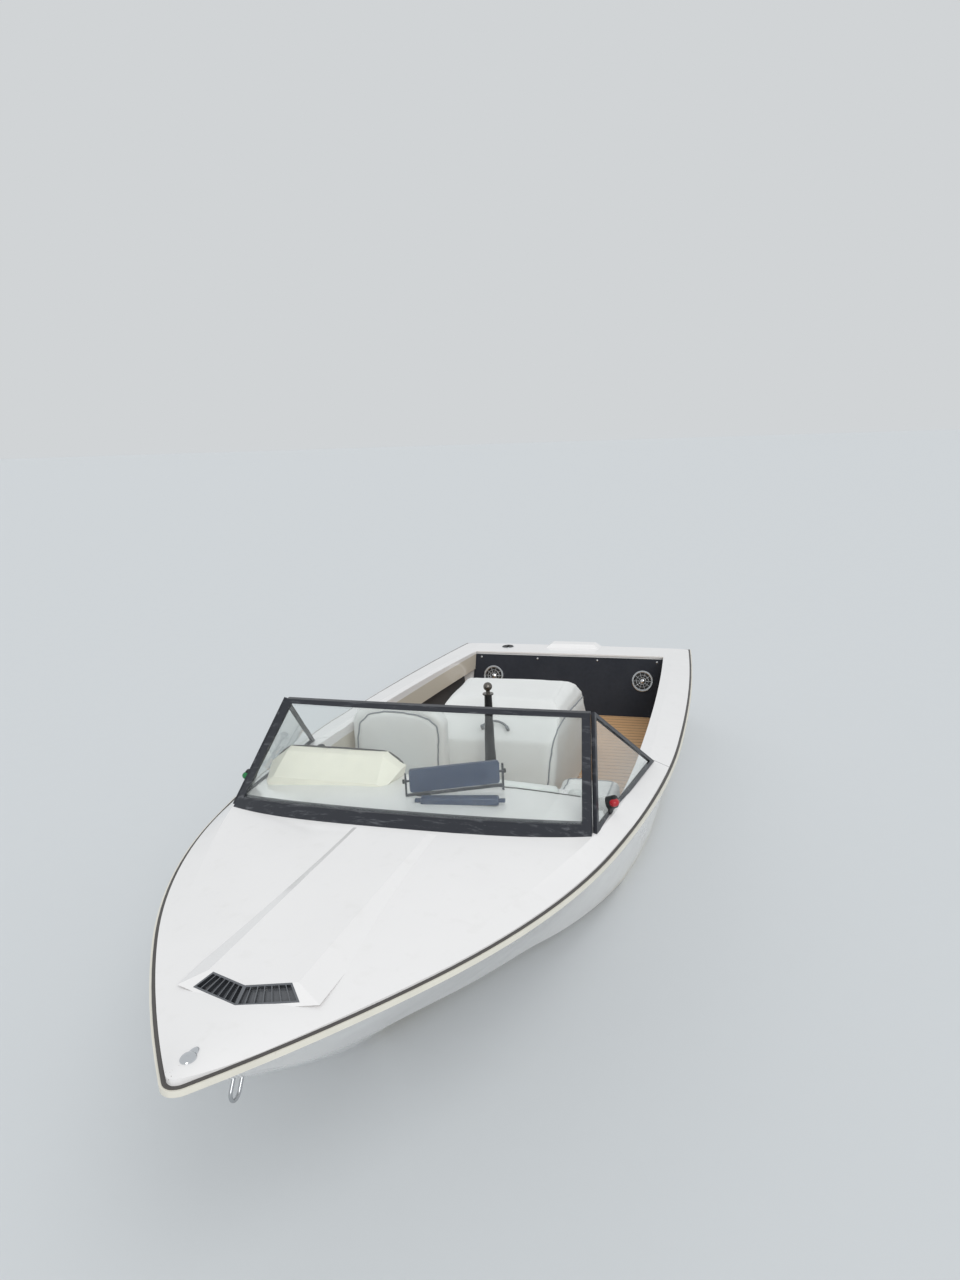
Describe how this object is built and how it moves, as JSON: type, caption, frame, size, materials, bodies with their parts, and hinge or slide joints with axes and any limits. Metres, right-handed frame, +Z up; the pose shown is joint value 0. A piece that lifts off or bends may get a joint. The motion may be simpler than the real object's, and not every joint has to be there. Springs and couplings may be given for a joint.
{
  "type": "inboard ski speedboat",
  "caption": "Open inboard tow-sports speedboat afloat, with raked windscreen and side wings, tow pylon, hinged engine cover, steering wheel, rudder and propeller that move.",
  "frame": {"origin": "on the waterline, at the centre of the transom's top edge as seen from above", "axes": "+X forward to the bow, +Y to port, +Z up from the water"},
  "size_m": [5.718, 2.08, 1.8116],
  "materials": {
    "gelcoat": "gloss white",
    "rail_vinyl": "satin cream",
    "dark_insert": "satin",
    "teak": "satin, dark lines across",
    "carpet": "matt",
    "lining": "matt",
    "dark_plastic": "matt",
    "light_plastic": "satin",
    "chrome": "polished",
    "steel": "satin",
    "engine_iron": "painted",
    "black_paint": "satin",
    "black_alloy": "anodised black",
    "screen_glass": "clear",
    "red_lens": "clear red in a black housing",
    "green_lens": "clear green in a black housing",
    "pod_vinyl": "satin cream",
    "seat_vinyl": "satin, grey piping",
    "cover_vinyl": "satin",
    "mirror_body": "dark back, silvered face",
    "bronze": "satin"
  },
  "bodies": {
    "hull_body": {"hull": "gelcoat", "deck": "gelcoat", "rub_rail": "rail_vinyl", "rail_insert": "dark_insert", "cockpit_floor": "teak", "rear_panel": "carpet", "side_linings": "lining", "speaker_cones": "dark_plastic", "speaker_grilles": "chrome", "engine_block": "engine_iron", "tow_pylon": "black_paint", "windscreen_frame": "black_alloy", "windscreen_glass": "screen_glass", "wing_frames": "black_alloy", "wing_glass": "screen_glass", "nav_light_port": "red_lens", "nav_light_starboard": "green_lens", "instrument_pod": "pod_vinyl", "dash_panel": "dark_plastic", "dash_trim": "dark_insert", "mirror_bracket": "black_alloy", "mirror": "mirror_body", "throttle_control": "dark_plastic", "driver_seat_base": "gelcoat", "driver_seat_cushion": "seat_vinyl", "driver_seat_back": "seat_vinyl", "observer_seat_base": "gelcoat", "observer_seat_cushion": "seat_vinyl", "bow_vent": "dark_plastic", "bow_fitting": "chrome", "bow_eye": "steel", "stern_eyes": "steel", "fuel_filler_cap": "dark_plastic", "exhaust_outlets": "steel", "shaft_log": "bronze", "shaft_strut": "bronze", "rudder_gland": "bronze", "tracking_fins": "bronze", "cover_hinges": "steel"},
    "cover_body": {"engine_cover": "cover_vinyl", "cover_handle": "light_plastic"},
    "drive_body": {"propeller": "bronze", "propeller_shaft": "steel"},
    "rudder_body": {"rudder": "bronze"},
    "wheel_body": {"steering_wheel": "dark_plastic"}
  },
  "joints": [
    {"name": "cover_hinge", "type": "hinge", "parent": "hull_body", "child": "cover_body", "pos_m": [1.08, 0, 0.124], "axis": [0, -1, 0], "range_deg": [0, 75]},
    {"name": "propeller_spin", "type": "hinge", "parent": "hull_body", "child": "drive_body", "pos_m": [0.62, 0, -0.5], "axis": [0.9703, 0, 0.2419], "continuous": true},
    {"name": "steering_turn", "type": "hinge", "parent": "hull_body", "child": "wheel_body", "pos_m": [3.29, -0.505, 0.545], "axis": [-0.9397, 0, 0.342], "range_deg": [-270, 270]},
    {"name": "rudder_turn", "type": "hinge", "parent": "hull_body", "child": "rudder_body", "pos_m": [0.28, 0, -0.5], "axis": [0, 0, 1], "range_deg": [-35, 35]}
  ],
  "couplings": [
    {"joint": "rudder_turn", "follows": "steering_turn", "ratio": -0.125}
  ]
}
